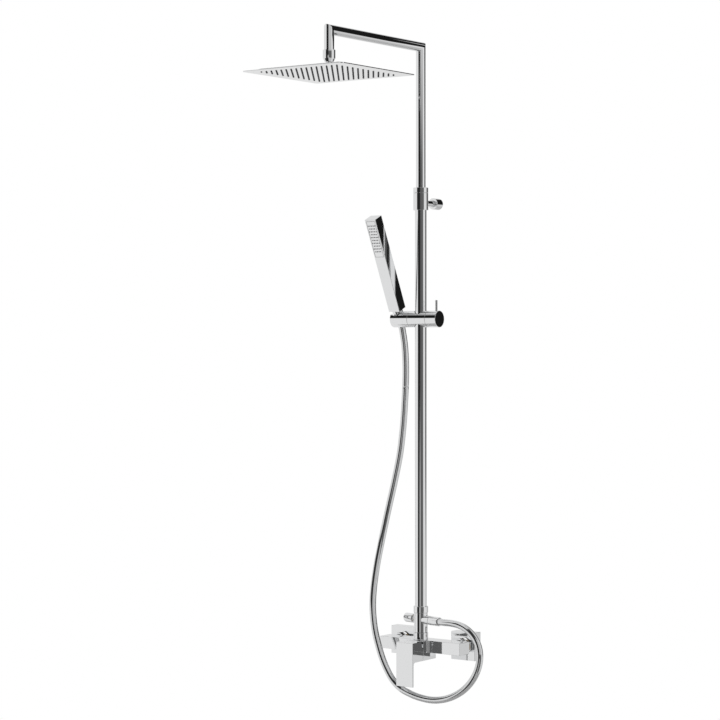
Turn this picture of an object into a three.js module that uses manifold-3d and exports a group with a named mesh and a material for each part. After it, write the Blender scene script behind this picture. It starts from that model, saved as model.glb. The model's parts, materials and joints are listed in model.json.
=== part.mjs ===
// Rainfall shower column for a wall: an exposed single-lever mixer with a diverter on top, a riser
// with a sliding handset holder, a telescopic arm and a thin square rain head on a ball joint.
// Millimetres. +X is right, +Y goes into the wall, +Z is up. The origin lies on the wall plane,
// midway between the two water inlets, at the height of their axes.

import * as THREE from 'three';
import { mergeVertices } from 'three/addons/utils/BufferGeometryUtils.js';
import Module from 'manifold-3d';

const wasm = await Module();
wasm.setup();

// ---- driving dimensions ----

const GAP = 0.3;                 // room left between two touching pieces
const SIDES = 28;                // sides of a large round piece
const FEW_SIDES = 20;            // sides of a small round piece

const INLET_X = 75;              // half of the 150 mm between the two wall inlets
const RISER_Y = -65.5;           // riser axis, in front of the wall

const ROSETTE_SIDE = 57.5;
const ROSETTE_DEPTH = 22.4;
const ROSETTE_WALL = 1.6;

const BAR_HALF_LENGTH = 98.5;
const BAR_FRONT = -71;
const BAR_BACK = -35.5;
const BAR_HALF_HEIGHT = 12.35;
const BLOCK_HALF_WIDTH = 20.3;   // central block, which carries the cartridge
const BLOCK_FRONT = -86.6;
const BLOCK_BACK = -40;
const BLOCK_BOTTOM = -27.5;
const CARTRIDGE_Z = -7.5;

const LEVER_FRONT = -124.8;
const LEVER_TIP = -77;
const LEVER_BLADE = 4;           // thickness of the hanging blade
const LEVER_FILLET = 6;
const LEVER_LIFT = THREE.MathUtils.degToRad(20);

const DIVERTER_Z = 54;
const DIVERTER_TURN = THREE.MathUtils.degToRad(14);  // the outlet is turned out towards the front
const DIVERTER_R = 14;
const NUT_R = 15;

const RISER_R = 12;
const RISER_BORE = 10.7;
const RISER_BOTTOM = 68.3;

const COLLAR_R = 15.5;
const COLLAR_BOTTOM = 894.4;
const COLLAR_TOP = 929.3;
const LOCK_TOP = 940.4;
const POST_Z = 909.5;

const ARM_R = 10;
const ARM_BORE = 8.6;
const ARM_Z = 1229.5;
const ARM_REACH = 316;           // riser axis to head axis
const ARM_FOOT = 700;            // lower end of the sliding tube, inside the riser
const STEM_END = 1182;

const HEAD_SIDE = 240;
const HEAD_Z = 1144;             // underside of the face plate
const HEAD_PLATE = 2;
const BALL_Z = 1172.5;
const BALL_R = 7.2;

const SLIDER_Z = 670.65;
const SLIDER_R = 17;
const SLIDER_LEFT = -66;
const SLIDER_SEAM = -24;
const CLAMP_SEAM = 20;
const SLIDER_RIGHT = 46.3;
const HANDSET_X = -52.4;
const HANDSET_TILT = THREE.MathUtils.degToRad(25);
const HANDSET_WIDTH = 26.4;
const HANDSET_DEPTH = 24;
const HANDSET_BOTTOM = 21.9;     // along the handset axis, from the holder axis
const HANDSET_TOP = 227.1;

const HOSE_R = 7;

// ---- geometry helpers ----

// A closed manifold solid from a three.js geometry, with its faces turned outwards.
function solid(geometry) {
  const bare = geometry.index ? geometry.toNonIndexed() : geometry.clone();
  for (const name of Object.keys(bare.attributes)) {
    if (name !== 'position') bare.deleteAttribute(name);
  }
  const merged = mergeVertices(bare, 1e-4);
  const place = merged.attributes.position;
  const corners = [];
  const [a, b, c] = [new THREE.Vector3(), new THREE.Vector3(), new THREE.Vector3()];
  let volume = 0;
  for (let i = 0; i < merged.index.count; i += 3) {
    const [p, q, r] = [0, 1, 2].map((k) => merged.index.getX(i + k));
    if (p === q || q === r || r === p) continue;
    corners.push(p, q, r);
    a.fromBufferAttribute(place, p);
    b.fromBufferAttribute(place, q);
    c.fromBufferAttribute(place, r);
    volume += a.dot(b.cross(c));
  }
  if (volume < 0) {
    for (let i = 0; i < corners.length; i += 3) {
      [corners[i], corners[i + 1]] = [corners[i + 1], corners[i]];
    }
  }
  return new wasm.Manifold(new wasm.Mesh({
    numProp: 3,
    vertProperties: new Float32Array(place.array),
    triVerts: new Uint32Array(corners),
  }));
}

const cut = (body, ...tools) => tools.reduce((left, tool) => left.subtract(tool), body);
const join = (body, ...others) => others.reduce((sum, other) => sum.add(other), body);

// Turned shape about Z from [radius, height] points. A profile off the axis closes on itself.
function turned(profile, sides = SIDES) {
  const points = profile.map(([r, h]) => new THREE.Vector2(r, h));
  const first = points[0];
  if (first.x > 0 || points.at(-1).x > 0) points.push(first.clone());
  return new THREE.LatheGeometry(points, sides).rotateX(Math.PI / 2);
}

const rod = (r, low, high, sides = SIDES) => turned([[0, low], [r, low], [r, high], [0, high]], sides);
const ring = (inner, outer, low, high, sides = SIDES) =>
  turned([[inner, low], [outer, low], [outer, high], [inner, high]], sides);

const alongX = (geometry) => geometry.rotateY(Math.PI / 2);
const alongY = (geometry) => geometry.rotateX(-Math.PI / 2);

function block(x0, x1, y0, y1, z0, z1) {
  return new THREE.BoxGeometry(x1 - x0, y1 - y0, z1 - z0)
    .translate((x0 + x1) / 2, (y0 + y1) / 2, (z0 + z1) / 2);
}

// A rectangle with round corners, centred on the axis, as a plate from low to high.
function roundedPlate(width, depth, radius, low, high) {
  const x = width / 2 - radius;
  const y = depth / 2 - radius;
  const shape = new THREE.Shape();
  shape.absarc(x, y, radius, 0, Math.PI / 2);
  shape.absarc(-x, y, radius, Math.PI / 2, Math.PI);
  shape.absarc(-x, -y, radius, Math.PI, 1.5 * Math.PI);
  shape.absarc(x, -y, radius, 1.5 * Math.PI, 2 * Math.PI);
  const options = { depth: high - low, bevelEnabled: false, curveSegments: 5 };
  return new THREE.ExtrudeGeometry(shape, options).translate(0, 0, low);
}

// A side profile, drawn with Y across and Z up, run along X from x0 to x1.
function sidePrism(shape, x0, x1) {
  const options = { depth: x1 - x0, bevelEnabled: false, curveSegments: 5 };
  const basis = new THREE.Matrix4().makeBasis(
    new THREE.Vector3(0, 1, 0), new THREE.Vector3(0, 0, 1), new THREE.Vector3(1, 0, 0));
  return new THREE.ExtrudeGeometry(shape, options).applyMatrix4(basis).translate(x0, 0, 0);
}

// A pipe along straight legs with sharp mitred corners: one ring of points at every corner.
function mitredPipe(route, outer, inner, sides) {
  const points = route.map((p) => new THREE.Vector3(...p));
  const positions = [];
  const across = new THREE.Vector3(1, 0, 0);
  for (const [i, point] of points.entries()) {
    const before = points[i].clone().sub(points[i - 1] ?? points[i]).normalize();
    const after = (points[i + 1] ?? points[i]).clone().sub(points[i]).normalize();
    const sum = before.clone().add(after).normalize();
    const leg = before.lengthSq() ? before : after;
    const normal = new THREE.Vector3().crossVectors(leg, across);
    const stretch = new THREE.Vector3().crossVectors(sum, across);
    stretch.multiplyScalar(1 / normal.dot(stretch));
    for (const radius of [outer, inner]) {
      for (let k = 0; k < sides; k++) {
        const angle = 2 * Math.PI * (k + 0.5) / sides;
        positions.push(point.clone()
          .addScaledVector(across, radius * Math.cos(angle))
          .addScaledVector(stretch, radius * Math.sin(angle)));
      }
    }
  }
  const index = [];
  const at = (i, layer, k) => (2 * i + layer) * sides + (k % sides);
  const quad = (a, b, c, d) => index.push(a, b, c, a, c, d);
  for (let k = 0; k < sides; k++) {
    for (let i = 0; i + 1 < points.length; i++) {
      quad(at(i, 0, k), at(i, 0, k + 1), at(i + 1, 0, k + 1), at(i + 1, 0, k));
      quad(at(i, 1, k + 1), at(i, 1, k), at(i + 1, 1, k), at(i + 1, 1, k + 1));
    }
    const last = points.length - 1;
    quad(at(0, 0, k + 1), at(0, 0, k), at(0, 1, k), at(0, 1, k + 1));
    quad(at(last, 0, k), at(last, 0, k + 1), at(last, 1, k + 1), at(last, 1, k));
  }
  const pipe = new THREE.BufferGeometry().setFromPoints(positions);
  pipe.setIndex(index);
  return pipe;
}

// ---- the scene ----

const shower = new THREE.Group();
const riserAxis = new THREE.Group();
riserAxis.position.set(0, RISER_Y, 0);
const diverterFrame = new THREE.Group();
diverterFrame.rotation.z = -DIVERTER_TURN;
const holderFrame = new THREE.Group();
holderFrame.position.set(HANDSET_X, RISER_Y, SLIDER_Z);
holderFrame.rotation.x = HANDSET_TILT;
const headAxis = new THREE.Group();
headAxis.position.set(0, -ARM_REACH, 0);
shower.add(riserAxis, holderFrame);
riserAxis.add(diverterFrame, headAxis);

const FINISHES = {
  chrome: { color: 0xd8dbde, roughness: 0.06, metalness: 1 },
  brass: { color: 0xb08d57, roughness: 0.35, metalness: 1 },
  steel: { color: 0x8d9196, roughness: 0.4, metalness: 1 },
  plastic: { color: 0x3a3c40, roughness: 0.5, metalness: 0 },
  rubber: { color: 0x1d1e20, roughness: 0.8, metalness: 0 },
  silicone: { color: 0x5b5f64, roughness: 0.6, metalness: 0 },
  hose: { color: 0xc6cacd, roughness: 0.2, metalness: 0.9 },
};

function place(parent, name, finish, body) {
  const made = body.getMesh();
  const geometry = new THREE.BufferGeometry();
  geometry.setAttribute('position', new THREE.BufferAttribute(made.vertProperties, 3));
  geometry.setIndex(new THREE.BufferAttribute(made.triVerts, 1));
  geometry.computeVertexNormals();
  const mesh = new THREE.Mesh(geometry, new THREE.MeshStandardMaterial(FINISHES[finish]));
  mesh.name = name;
  parent.add(mesh);
}

// ---- wall connections ----

const UNION_BORE = 7;
const UNION_THREAD_R = 10.3;
const UNION_R = 11;
const FLANGE_R = 13;
const BOSS_END = -27.5;
const SEAL_END = -25.5;
const FLANGE_END = -25.2;
const FLANGE_BACK = -23.2;
const THREAD_LENGTH = 14;        // how far the thread reaches into the wall elbow

function wallUnion() {
  return turned([
    [UNION_BORE, FLANGE_END], [FLANGE_R, FLANGE_END], [FLANGE_R, FLANGE_BACK],
    [UNION_R, FLANGE_BACK], [UNION_R, 0], [UNION_THREAD_R, 0],
    [UNION_THREAD_R, THREAD_LENGTH], [UNION_BORE, THREAD_LENGTH],
  ], FEW_SIDES);
}

function unionNut() {
  const hexCorner = 15 / Math.cos(Math.PI / 6);
  const outside = rod(hexCorner, BAR_BACK + GAP, -20.8, 6);
  const wide = rod(FLANGE_R + GAP, -40, FLANGE_BACK + GAP, FEW_SIDES);
  const narrow = rod(UNION_R + GAP, -30, -15, FEW_SIDES);
  return cut(solid(alongY(outside)), solid(alongY(wide)), solid(alongY(narrow)));
}

function rosette() {
  const half = ROSETTE_SIDE / 2;
  const inner = half - ROSETTE_WALL;
  const face = -ROSETTE_DEPTH;
  return cut(
    solid(block(-half, half, face, 0, -half, half)),
    solid(block(-inner, inner, face + ROSETTE_WALL, 5, -inner, inner)),
    solid(alongY(rod(18, face - 5, -10))));
}

for (const [side, x] of [['left', -INLET_X], ['right', INLET_X]]) {
  const inlet = new THREE.Group();
  inlet.position.x = x;
  shower.add(inlet);
  place(inlet, `wall_union_${side}`, 'brass', solid(alongY(wallUnion())));
  place(inlet, `union_nut_${side}`, 'chrome', unionNut());
  place(inlet, `rosette_${side}`, 'chrome', rosette());
  place(inlet, `inlet_seal_${side}`, 'rubber',
    solid(alongY(ring(UNION_BORE + 1, FLANGE_R - 0.5, BOSS_END + GAP, SEAL_END, FEW_SIDES))));
}

// ---- mixer ----

const NUT_BORE_R = 15;
const CARTRIDGE_R = 13;
const CARTRIDGE_FRONT = -78;
const CARTRIDGE_BACK = -50;
const BODY_FILLET = 5;
const PASSAGE_Y = -53;           // cross passage that joins the two inlets
const PASSAGE_R = 5;
const OUTLET_BORE = 6;

// Concave fillet in plan, where the block's side (at side * BLOCK_HALF_WIDTH) meets the bar's front.
function bodyFillet(side) {
  const x = side * BLOCK_HALF_WIDTH;
  const far = x + side * BODY_FILLET;
  const end = side > 0 ? Math.PI : 0;
  const shape = new THREE.Shape();
  shape.moveTo(x - side, BAR_FRONT + 1);
  shape.lineTo(far, BAR_FRONT + 1);
  shape.lineTo(far, BAR_FRONT);
  shape.absarc(far, BAR_FRONT - BODY_FILLET, BODY_FILLET, Math.PI / 2, end, side < 0);
  shape.lineTo(x - side, BAR_FRONT - BODY_FILLET);
  const options = { depth: 2 * BAR_HALF_HEIGHT, bevelEnabled: false, curveSegments: 5 };
  return new THREE.ExtrudeGeometry(shape, options).translate(0, 0, -BAR_HALF_HEIGHT);
}

function mixerBody() {
  const bar = block(
    -BAR_HALF_LENGTH, BAR_HALF_LENGTH, BAR_FRONT, BAR_BACK, -BAR_HALF_HEIGHT, BAR_HALF_HEIGHT);
  const middle = block(
    -BLOCK_HALF_WIDTH, BLOCK_HALF_WIDTH, BLOCK_FRONT, BLOCK_BACK, BLOCK_BOTTOM, BAR_HALF_HEIGHT);
  const bosses = [-INLET_X, INLET_X].map((x) =>
    solid(alongY(rod(FLANGE_R - GAP, BAR_BACK - 1, BOSS_END, FEW_SIDES)).translate(x, 0, 0)));
  const inlets = [-INLET_X, INLET_X].map((x) =>
    solid(alongY(rod(UNION_BORE, PASSAGE_Y - 3, BOSS_END + 5, FEW_SIDES)).translate(x, 0, 0)));
  const cross = alongX(rod(PASSAGE_R, -INLET_X, INLET_X, 12)).translate(0, PASSAGE_Y, 0);
  const nutBore = alongY(rod(NUT_BORE_R, BLOCK_FRONT - 5, CARTRIDGE_FRONT)).translate(0, 0, CARTRIDGE_Z);
  const bore = alongY(rod(CARTRIDGE_R + GAP, BLOCK_FRONT - 5, CARTRIDGE_BACK)).translate(0, 0, CARTRIDGE_Z);
  const outlet = rod(OUTLET_BORE, 0, BAR_HALF_HEIGHT + 5, FEW_SIDES).translate(0, RISER_Y, 0);
  return cut(
    join(solid(bar), solid(middle), solid(bodyFillet(1)), solid(bodyFillet(-1)), ...bosses),
    ...inlets, solid(cross), solid(nutBore), solid(bore), solid(outlet));
}

const cartridgeAxis = new THREE.Group();
cartridgeAxis.position.z = CARTRIDGE_Z;
shower.add(cartridgeAxis);

place(shower, 'mixer_body', 'chrome', mixerBody());
place(cartridgeAxis, 'cartridge_body', 'plastic', solid(alongY(turned([
  [0, CARTRIDGE_BACK - GAP], [0, -62], [6, -62], [6, CARTRIDGE_FRONT + GAP],
  [CARTRIDGE_R, CARTRIDGE_FRONT + GAP], [CARTRIDGE_R, CARTRIDGE_BACK - GAP],
], FEW_SIDES))));
place(cartridgeAxis, 'cartridge_nut', 'brass',
  solid(alongY(ring(9, NUT_BORE_R - GAP, BLOCK_FRONT + GAP, CARTRIDGE_FRONT - GAP))));

// Turns with the lever. Its slot lets the lever's spindle tilt.
function spindleCarrier() {
  const disc = alongY(rod(8.6, -84.5, CARTRIDGE_FRONT - GAP, FEW_SIDES));
  const tail = alongY(rod(5.6, -80, -70, FEW_SIDES));
  return cut(join(solid(disc), solid(tail)), solid(block(-2.9, 2.9, -90, -75, -4.6, 4.6)));
}

place(cartridgeAxis, 'spindle_carrier', 'plastic', spindleCarrier());

// ---- lever ----

const LEVER_BACK = BLOCK_FRONT - GAP;
const LEVER_TOP = 12.2;
const POCKET_R = 8.3;            // round pocket in the handle for its plastic insert
const POCKET_FRONT = -112;
const SPINDLE_HALF = 2.5;        // square spindle
const SCREW_R = 2.1;             // grub screw under the handle
const SCREW_Y = -100;

function leverHandle() {
  const wedge = (LEVER_TOP - CARTRIDGE_Z) * Math.tan(LEVER_LIFT);
  const blade = LEVER_FRONT + LEVER_BLADE;
  const shape = new THREE.Shape();
  shape.moveTo(LEVER_FRONT, LEVER_TOP);
  shape.lineTo(LEVER_FRONT, LEVER_TIP);
  shape.lineTo(blade, LEVER_TIP);
  shape.absarc(blade + LEVER_FILLET, BLOCK_BOTTOM - LEVER_FILLET, LEVER_FILLET, Math.PI, Math.PI / 2, true);
  shape.lineTo(LEVER_BACK, BLOCK_BOTTOM);
  shape.lineTo(LEVER_BACK, CARTRIDGE_Z);
  shape.lineTo(LEVER_BACK - wedge, LEVER_TOP);
  const pocket = alongY(rod(POCKET_R, POCKET_FRONT, LEVER_BACK + 5, FEW_SIDES)).translate(0, 0, CARTRIDGE_Z);
  const screwHole = rod(SCREW_R + GAP, BLOCK_BOTTOM - 5, CARTRIDGE_Z, 12).translate(0, SCREW_Y, 0);
  return cut(solid(sidePrism(shape, -BLOCK_HALF_WIDTH, BLOCK_HALF_WIDTH)), solid(pocket), solid(screwHole));
}

place(shower, 'lever_handle', 'chrome', leverHandle());
place(cartridgeAxis, 'lever_insert', 'plastic', cut(
  solid(alongY(rod(POCKET_R - GAP, POCKET_FRONT + GAP, -90, FEW_SIDES))),
  solid(block(-SPINDLE_HALF - GAP, SPINDLE_HALF + GAP, -120, -85, -SPINDLE_HALF - GAP, SPINDLE_HALF + GAP))));
place(cartridgeAxis, 'lever_spindle', 'brass',
  solid(block(-SPINDLE_HALF, SPINDLE_HALF, POCKET_FRONT + 1, -79.3, -SPINDLE_HALF, SPINDLE_HALF)));
place(shower, 'lever_screw', 'steel',
  solid(rod(SCREW_R, BLOCK_BOTTOM + 0.5, CARTRIDGE_Z - POCKET_R, 12).translate(0, SCREW_Y, 0)));

// ---- diverter ----

const SPIGOT_R = 9.6;
const DIVERTER_BOTTOM = 27.6;
const DIVERTER_TOP = 67.8;
const DIVERTER_BORE = 6;
const CROSS_BORE = 7.3;
const OUTLET_END = 57;
const KNOB_END = -44;

function diverterBody() {
  const outside = turned([
    [0, 14.5], [SPIGOT_R, 14.5], [SPIGOT_R, DIVERTER_BOTTOM], [DIVERTER_R, DIVERTER_BOTTOM],
    [DIVERTER_R, DIVERTER_TOP], [SPIGOT_R, DIVERTER_TOP], [SPIGOT_R, 80], [0, 80],
  ]);
  const cross = alongX(rod(CROSS_BORE, -20, 20, FEW_SIDES)).translate(0, 0, DIVERTER_Z);
  const groove = ring(SPIGOT_R - 1.3, SPIGOT_R + 1, 72, 75, SIDES);
  return cut(solid(outside), solid(rod(DIVERTER_BORE, 0, 90, FEW_SIDES)), solid(cross), solid(groove));
}

place(diverterFrame, 'diverter_lower_nut', 'chrome',
  solid(ring(SPIGOT_R + GAP, NUT_R, BAR_HALF_HEIGHT + GAP, DIVERTER_BOTTOM - GAP)));
place(diverterFrame, 'diverter_seal', 'rubber',
  solid(ring(DIVERTER_BORE + 0.5, SPIGOT_R - 0.3, BAR_HALF_HEIGHT + GAP, 14.2, FEW_SIDES)));
place(diverterFrame, 'diverter_body', 'chrome', diverterBody());
place(diverterFrame, 'diverter_upper_nut', 'chrome',
  solid(ring(RISER_R + GAP, NUT_R, DIVERTER_TOP + GAP, 81)));

const outletAxis = new THREE.Group();
outletAxis.position.z = DIVERTER_Z;
diverterFrame.add(outletAxis);

place(outletAxis, 'outlet_nipple', 'chrome', solid(alongX(turned([
  [5, 7], [CROSS_BORE - GAP, 7], [CROSS_BORE - GAP, 14.4], [9.2, 14.4], [9.2, 30], [7, 30], [7, 40], [5, 40],
], FEW_SIDES))));
place(outletAxis, 'hose_nut_lower', 'chrome', solid(alongX(turned([
  [7.4, 30 + GAP], [9.2, 30 + GAP], [9.2, 55.5], [8.6, OUTLET_END], [7.4, OUTLET_END],
], FEW_SIDES))));
place(outletAxis, 'diverter_valve', 'brass', solid(alongX(turned([
  [0, -36], [3, -36], [3, -14], [CROSS_BORE - GAP, -14], [CROSS_BORE - GAP, 4.7], [0, 4.7],
], FEW_SIDES))));
place(outletAxis, 'diverter_knob', 'chrome', solid(alongX(turned([
  [0, KNOB_END], [8.6, KNOB_END], [9.2, KNOB_END + 0.8], [9.2, -20.6], [8.8, -20], [6.2, -20],
  [6.2, -14.4], [3.3, -14.4], [3.3, -36.3], [0, -36.3],
], FEW_SIDES))));

// ---- riser and telescopic collar ----

place(riserAxis, 'riser_tube', 'chrome', solid(ring(RISER_BORE, RISER_R, RISER_BOTTOM, 926)));
place(riserAxis, 'riser_seal', 'rubber', solid(ring(8.7, RISER_BORE - GAP, 72.3, 74.7, FEW_SIDES)));

function collarBody() {
  const outside = ring(ARM_R + GAP, COLLAR_R, COLLAR_BOTTOM, COLLAR_TOP);
  const socket = rod(RISER_R + GAP, COLLAR_BOTTOM - 5, 926.3);
  const postHole = alongY(rod(6.3, 10, 20, FEW_SIDES)).translate(0, 0, POST_Z);
  return cut(solid(outside), solid(socket), solid(postHole));
}

place(riserAxis, 'collar_body', 'chrome', collarBody());
place(riserAxis, 'collar_gland', 'plastic',
  solid(turned([[ARM_R + GAP, 929.7], [12.3, 929.7], [12.3, 933], [11.4, 936.7], [ARM_R + GAP, 936.7]])));
place(riserAxis, 'lock_ring', 'chrome', solid(turned([
  [12.7, COLLAR_TOP + 0.4], [COLLAR_R, COLLAR_TOP + 0.4], [COLLAR_R, LOCK_TOP],
  [ARM_R + GAP, LOCK_TOP], [ARM_R + GAP, 937.2], [12.7, 937.2],
])));

// ---- wall post ----

const postAxis = new THREE.Group();
postAxis.position.z = POST_Z;
shower.add(postAxis);
const CUP_R = 11.5;

place(postAxis, 'post_neck', 'chrome', solid(alongY(rod(6, -53, -8.8, FEW_SIDES))));
place(postAxis, 'post_cup', 'chrome', cut(
  solid(alongY(turned([[6.3, -21], [CUP_R, -21], [CUP_R, 0], [9.9, 0], [9.9, -18.5], [6.3, -18.5]]))),
  solid(rod(2.2, -15, -5, 12).translate(0, -4.5, 0))));
place(postAxis, 'post_disc', 'steel', cut(
  solid(alongY(rod(9.5, -8.5, 0))), solid(rod(2.2, -15, -5, 12).translate(0, -4.5, 0))));
place(postAxis, 'post_grub_screw', 'steel', solid(rod(1.9, -11.2, -5.5, 12).translate(0, -4.5, 0)));

// ---- slider: clamp on the riser, knob and tilting holder ----

const sliderAxis = new THREE.Group();
sliderAxis.position.z = SLIDER_Z;
riserAxis.add(sliderAxis);
const LINER_BORE = 13.3;
const SPINDLE_R = 4;
const PIVOT_R = 5;

function sliderBody() {
  return cut(
    solid(alongX(rod(SLIDER_R, SLIDER_SEAM + GAP, CLAMP_SEAM))),
    solid(rod(LINER_BORE, -20, 20)),
    solid(alongX(rod(SPINDLE_R + GAP, 5, 30, FEW_SIDES))),
    solid(alongX(rod(PIVOT_R + GAP, -30, -14.9, FEW_SIDES))));
}

place(sliderAxis, 'slider_body', 'chrome', sliderBody());
place(sliderAxis, 'clamp_liner', 'plastic', solid(ring(RISER_R + GAP, LINER_BORE - GAP, -10, 10)));
place(sliderAxis, 'holder_pivot', 'steel', solid(alongX(rod(PIVOT_R, -37.5, -15.2, FEW_SIDES))));
place(sliderAxis, 'clamp_spindle', 'brass', solid(alongX(rod(SPINDLE_R, 13.6, 34, FEW_SIDES))));

const PIN_X = 38.5;
const PIN_R = 2.5;
place(sliderAxis, 'clamp_knob', 'chrome', cut(
  solid(alongX(turned([
    [0, CLAMP_SEAM + GAP], [SLIDER_R, CLAMP_SEAM + GAP], [SLIDER_R, SLIDER_RIGHT - 0.5],
    [SLIDER_R - 0.5, SLIDER_RIGHT], [0, SLIDER_RIGHT],
  ]))),
  solid(alongX(rod(SPINDLE_R + GAP, 10, 34.3, FEW_SIDES))),
  solid(rod(PIN_R + GAP, 7.5, 30, 12).translate(PIN_X, 0, 0))));
place(sliderAxis, 'knob_pin', 'chrome', solid(rod(PIN_R, 7.9, 38.6, 12).translate(PIN_X, 0, 0)));

// Tilts a geometry drawn on the handset axis to where it stands on the slider.
const tilted = (geometry) => geometry.rotateX(HANDSET_TILT).translate(HANDSET_X, 0, 0);
const seatTool = (grow) => turned([[0, -40], [9.3 + grow, -40], [9.3 + grow, -17], [12.2 + grow, 21], [0, 21]]);
const slotTool = (half) => block(-30, 0, -half, half, -45, 45);

function holder() {
  return cut(
    solid(alongX(turned([
      [0, SLIDER_LEFT], [SLIDER_R - 0.5, SLIDER_LEFT], [SLIDER_R, SLIDER_LEFT + 0.5],
      [SLIDER_R, SLIDER_SEAM], [0, SLIDER_SEAM],
    ]))),
    solid(tilted(seatTool(0))),
    solid(tilted(slotTool(7.8))),
    solid(alongX(rod(PIVOT_R + GAP, -37.8, -10, FEW_SIDES))));
}

// A plastic bush that lines the holder's conical seat, open along the hose slot.
function holderInsert() {
  const outside = turned([[0, -14.2], [9.2, -14.2], [11.2, 12], [0, 12]]);
  const inside = turned([[0, -20], [8.5, -20], [10.5, 13.2], [0, 13.2]]);
  return cut(solid(outside), solid(inside), solid(slotTool(7.8)));
}

place(sliderAxis, 'holder', 'chrome', holder());
place(holderFrame, 'holder_insert', 'plastic', holderInsert());

// ---- handset ----

place(holderFrame, 'hose_nut_upper', 'chrome', solid(turned([
  [7.4, -17.3], [8, -17.3], [10.1, 14.5], [11, 15.5], [11, HANDSET_BOTTOM - GAP],
  [9.2, HANDSET_BOTTOM - GAP], [9.2, 10.5], [7.4, 10.5],
], FEW_SIDES)));
place(holderFrame, 'handset_inlet', 'brass', solid(ring(5, 8.9, 11, 30, FEW_SIDES)));

const HANDSET_FRONT = -HANDSET_DEPTH / 2;
const PANEL_LOW = 145;
const PANEL_HIGH = 223.5;
const PANEL_HALF = 10.4;

function handsetBody() {
  return cut(
    solid(roundedPlate(HANDSET_WIDTH, HANDSET_DEPTH, 0.6, HANDSET_BOTTOM, HANDSET_TOP)),
    solid(block(-PANEL_HALF, PANEL_HALF, -PANEL_HALF, PANEL_HALF, 30.5, PANEL_HIGH)),
    solid(rod(9.2, 0, 40, FEW_SIDES)),
    solid(block(-PANEL_HALF, PANEL_HALF, -20, 0, PANEL_LOW, PANEL_HIGH)));
}

place(holderFrame, 'handset_body', 'chrome', handsetBody());
const panelEdge = PANEL_HALF - GAP;
place(holderFrame, 'handset_face', 'chrome',
  solid(block(-panelEdge, panelEdge, HANDSET_FRONT, HANDSET_FRONT + 2, PANEL_LOW + GAP, PANEL_HIGH - GAP)));
place(holderFrame, 'handset_nozzle_mat', 'silicone',
  solid(block(-9, 9, HANDSET_FRONT + 2 + GAP, HANDSET_FRONT + 4, PANEL_LOW + 2, PANEL_HIGH - 2)));

// ---- overhead arm ----

place(shower, 'arm_tube', 'chrome', solid(mitredPipe([
  [0, RISER_Y, ARM_FOOT], [0, RISER_Y, ARM_Z],
  [0, RISER_Y - ARM_REACH, ARM_Z], [0, RISER_Y - ARM_REACH, STEM_END],
], ARM_R, ARM_BORE, SIDES)));
place(riserAxis, 'slip_bush', 'plastic', solid(ring(8.3, RISER_BORE - GAP, 690, ARM_FOOT - GAP)));

// ---- ball joint and rain head ----

const SOCKET_R = 8.4;
const LINER_IN = 7.5;
const LINER_OUT = 8.1;

// Points on a sphere about the ball centre, from one latitude to another, in degrees.
function latitudes(radius, from, to, steps) {
  return Array.from({ length: steps + 1 }, (_, i) => {
    const angle = THREE.MathUtils.degToRad(from + (to - from) * i / steps);
    return [radius * Math.cos(angle), BALL_Z + radius * Math.sin(angle)];
  });
}

const LIP_LATITUDE = -45.6;      // where the socket's sphere opens at the nut's lower face
place(headAxis, 'head_nut', 'chrome', solid(turned([
  ...latitudes(SOCKET_R, LIP_LATITUDE, 0, 5), [SOCKET_R, 1181.7], [ARM_R + GAP, 1181.7],
  [ARM_R + GAP, 1189.8], [12.4, 1189.8], [12.4, 1174.3], [9.5, 1168.5], [8.6, 1166.5],
])));
place(headAxis, 'ball_gasket', 'rubber', solid(ring(4, 8, 1180.1, 1181.5, FEW_SIDES)));
place(headAxis, 'ball_liner', 'plastic', solid(turned([
  ...latitudes(LINER_IN, -38, 38, 8), ...latitudes(LINER_OUT, 38, -38, 8),
], FEW_SIDES)));
place(headAxis, 'ball_stud', 'chrome', solid(turned([
  [2.2, 1150.7], [5.9, 1150.7], [5.9, 1157.4], [3.6, 1158.4],
  ...latitudes(BALL_R, -60, 72, 9), [2.2, BALL_Z + 6.85],
], FEW_SIDES)));

const COVER_LOW = HEAD_Z + HEAD_PLATE + GAP;
const COVER_TOP = 1150.3;
const COVER_SIDE = 200;
place(headAxis, 'head_plate', 'chrome',
  solid(roundedPlate(HEAD_SIDE, HEAD_SIDE, 5, HEAD_Z, HEAD_Z + HEAD_PLATE)));
place(headAxis, 'chamber_cover', 'chrome', cut(
  solid(roundedPlate(COVER_SIDE, COVER_SIDE, 10, COVER_LOW, COVER_TOP)),
  solid(roundedPlate(COVER_SIDE - 6, COVER_SIDE - 6, 8, COVER_LOW - 5, COVER_TOP - 1.2)),
  solid(rod(6, 1140, 1160, FEW_SIDES))));
place(headAxis, 'nozzle_mat', 'silicone',
  solid(roundedPlate(COVER_SIDE - 12, COVER_SIDE - 12, 5, COVER_LOW, COVER_LOW + 1.6)));
place(headAxis, 'head_hub', 'chrome', solid(turned([
  [6.3, COVER_TOP + GAP], [13, COVER_TOP + GAP], [13, 1158.5], [12, 1159.6], [6.3, 1159.6],
], FEW_SIDES)));

// ---- hose ----

// The hose's centreline: straight out of the outlet, a wide loop below the mixer, and up to the holder.
const outlet = (reach) => [
  reach * Math.cos(DIVERTER_TURN), RISER_Y - reach * Math.sin(DIVERTER_TURN), DIVERTER_Z];
const seat = (height) => [
  HANDSET_X, RISER_Y - height * Math.sin(HANDSET_TILT), SLIDER_Z + height * Math.cos(HANDSET_TILT)];

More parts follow.
